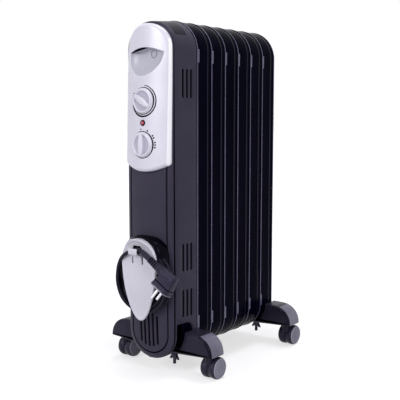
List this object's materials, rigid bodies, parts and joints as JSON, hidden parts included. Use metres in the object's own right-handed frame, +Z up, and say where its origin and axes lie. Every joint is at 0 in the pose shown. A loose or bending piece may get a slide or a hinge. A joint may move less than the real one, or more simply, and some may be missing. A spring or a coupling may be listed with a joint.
{
  "type": "oil filled radiator heater",
  "caption": "Tall oil filled radiator heater: pressed steel sections, control housing with two dials and lamp, wound lead on a wrap, casters.",
  "frame": {"origin": "On the floor, under the middle of the heater's box without its lead, with the casters resting on the floor.", "axes": "+Z is up, -Y is the front with the controls, +X is to the right as seen from the front."},
  "size_m": [0.242, 0.4002, 0.6362],
  "materials": {
    "section_enamel": "gloss navy-black stove enamel",
    "housing_paint": "satin charcoal paint",
    "silver_plastic": "satin silver paint on plastic",
    "silver_plate": "satin silver plastic",
    "plated_steel": "bright zinc and nickel plate",
    "brass_fittings": "dull brass",
    "element_sheath": "heat-stained steel tube",
    "pale_moulding": "matt phenolic moulding",
    "black_moulding": "matt black plastic",
    "lamp_lens": "clear red plastic",
    "cord_rubber": "black flexible vinyl",
    "foot_plastic": "satin dark grey plastic",
    "wheel_plastic": "grey-black nylon"
  },
  "bodies": {
    "radiator": {"section_1": "section_enamel", "section_2": "section_enamel", "section_3": "section_enamel", "section_4": "section_enamel", "section_5": "section_enamel", "section_6": "section_enamel", "section_7": "section_enamel", "oil_filler_plug": "plated_steel", "element_flange": "brass_fittings", "heating_element": "element_sheath", "housing_shell": "housing_paint", "front_cover": "housing_paint", "control_panel": "silver_plastic", "control_bracket": "plated_steel", "thermostat": "pale_moulding", "selector_switch": "black_moulding", "pilot_lamp": "black_moulding", "pilot_lens": "lamp_lens", "terminal_block": "pale_moulding", "thermal_cutout": "plated_steel", "wrap_drum": "black_moulding", "wrap_plate": "silver_plate", "cord_gland": "cord_rubber", "cord_coil": "cord_rubber", "cord_tail": "cord_rubber", "plug_body": "cord_rubber", "plug_pin_1": "plated_steel", "plug_pin_2": "plated_steel", "front_foot_bar": "foot_plastic", "front_u_bolt": "plated_steel", "front_left_wing_nut": "plated_steel", "front_right_wing_nut": "plated_steel", "rear_foot_bar": "foot_plastic", "rear_u_bolt": "plated_steel", "rear_left_wing_nut": "plated_steel", "rear_right_wing_nut": "plated_steel"},
    "thermostat_dial": {"thermostat_knob": "silver_plastic", "thermostat_spindle": "plated_steel"},
    "selector_dial": {"selector_knob": "silver_plastic", "selector_spindle": "plated_steel"},
    "front_left_swivel": {"front_left_caster": "foot_plastic", "front_left_axle": "plated_steel"},
    "front_left_inner_roller": {"front_left_wheel_inner": "wheel_plastic"},
    "front_left_outer_roller": {"front_left_wheel_outer": "wheel_plastic"},
    "front_right_swivel": {"front_right_caster": "foot_plastic", "front_right_axle": "plated_steel"},
    "front_right_inner_roller": {"front_right_wheel_inner": "wheel_plastic"},
    "front_right_outer_roller": {"front_right_wheel_outer": "wheel_plastic"},
    "rear_left_swivel": {"rear_left_caster": "foot_plastic", "rear_left_axle": "plated_steel"},
    "rear_left_inner_roller": {"rear_left_wheel_inner": "wheel_plastic"},
    "rear_left_outer_roller": {"rear_left_wheel_outer": "wheel_plastic"},
    "rear_right_swivel": {"rear_right_caster": "foot_plastic", "rear_right_axle": "plated_steel"},
    "rear_right_inner_roller": {"rear_right_wheel_inner": "wheel_plastic"},
    "rear_right_outer_roller": {"rear_right_wheel_outer": "wheel_plastic"}
  },
  "joints": [
    {"name": "thermostat_turn", "type": "hinge", "parent": "radiator", "child": "thermostat_dial", "pos_m": [0, -0.1582, 0.4928], "axis": [0, 1, 0], "range_deg": [0, 270]},
    {"name": "selector_turn", "type": "hinge", "parent": "radiator", "child": "selector_dial", "pos_m": [0, -0.1582, 0.417], "axis": [0, 1, 0], "range_deg": [0, 99]},
    {"name": "front_left_swivel_turn", "type": "hinge", "parent": "radiator", "child": "front_left_swivel", "pos_m": [-0.10235, -0.1037, 0.0446], "axis": [0, 0, 1], "continuous": true},
    {"name": "front_left_inner_roll", "type": "hinge", "parent": "front_left_swivel", "child": "front_left_inner_roller", "pos_m": [-0.0927, -0.0907, 0.02], "axis": [1, 0, 0], "continuous": true},
    {"name": "front_left_outer_roll", "type": "hinge", "parent": "front_left_swivel", "child": "front_left_outer_roller", "pos_m": [-0.112, -0.0907, 0.02], "axis": [1, 0, 0], "continuous": true},
    {"name": "front_right_swivel_turn", "type": "hinge", "parent": "radiator", "child": "front_right_swivel", "pos_m": [0.10235, -0.1037, 0.0446], "axis": [0, 0, 1], "continuous": true},
    {"name": "front_right_inner_roll", "type": "hinge", "parent": "front_right_swivel", "child": "front_right_inner_roller", "pos_m": [0.0927, -0.0907, 0.02], "axis": [1, 0, 0], "continuous": true},
    {"name": "front_right_outer_roll", "type": "hinge", "parent": "front_right_swivel", "child": "front_right_outer_roller", "pos_m": [0.112, -0.0907, 0.02], "axis": [1, 0, 0], "continuous": true},
    {"name": "rear_left_swivel_turn", "type": "hinge", "parent": "radiator", "child": "rear_left_swivel", "pos_m": [-0.10235, 0.1548, 0.0446], "axis": [0, 0, 1], "continuous": true},
    {"name": "rear_left_inner_roll", "type": "hinge", "parent": "rear_left_swivel", "child": "rear_left_inner_roller", "pos_m": [-0.0927, 0.1678, 0.02], "axis": [1, 0, 0], "continuous": true},
    {"name": "rear_left_outer_roll", "type": "hinge", "parent": "rear_left_swivel", "child": "rear_left_outer_roller", "pos_m": [-0.112, 0.1678, 0.02], "axis": [1, 0, 0], "continuous": true},
    {"name": "rear_right_swivel_turn", "type": "hinge", "parent": "radiator", "child": "rear_right_swivel", "pos_m": [0.10235, 0.1548, 0.0446], "axis": [0, 0, 1], "continuous": true},
    {"name": "rear_right_inner_roll", "type": "hinge", "parent": "rear_right_swivel", "child": "rear_right_inner_roller", "pos_m": [0.0927, 0.1678, 0.02], "axis": [1, 0, 0], "continuous": true},
    {"name": "rear_right_outer_roll", "type": "hinge", "parent": "rear_right_swivel", "child": "rear_right_outer_roller", "pos_m": [0.112, 0.1678, 0.02], "axis": [1, 0, 0], "continuous": true}
  ]
}
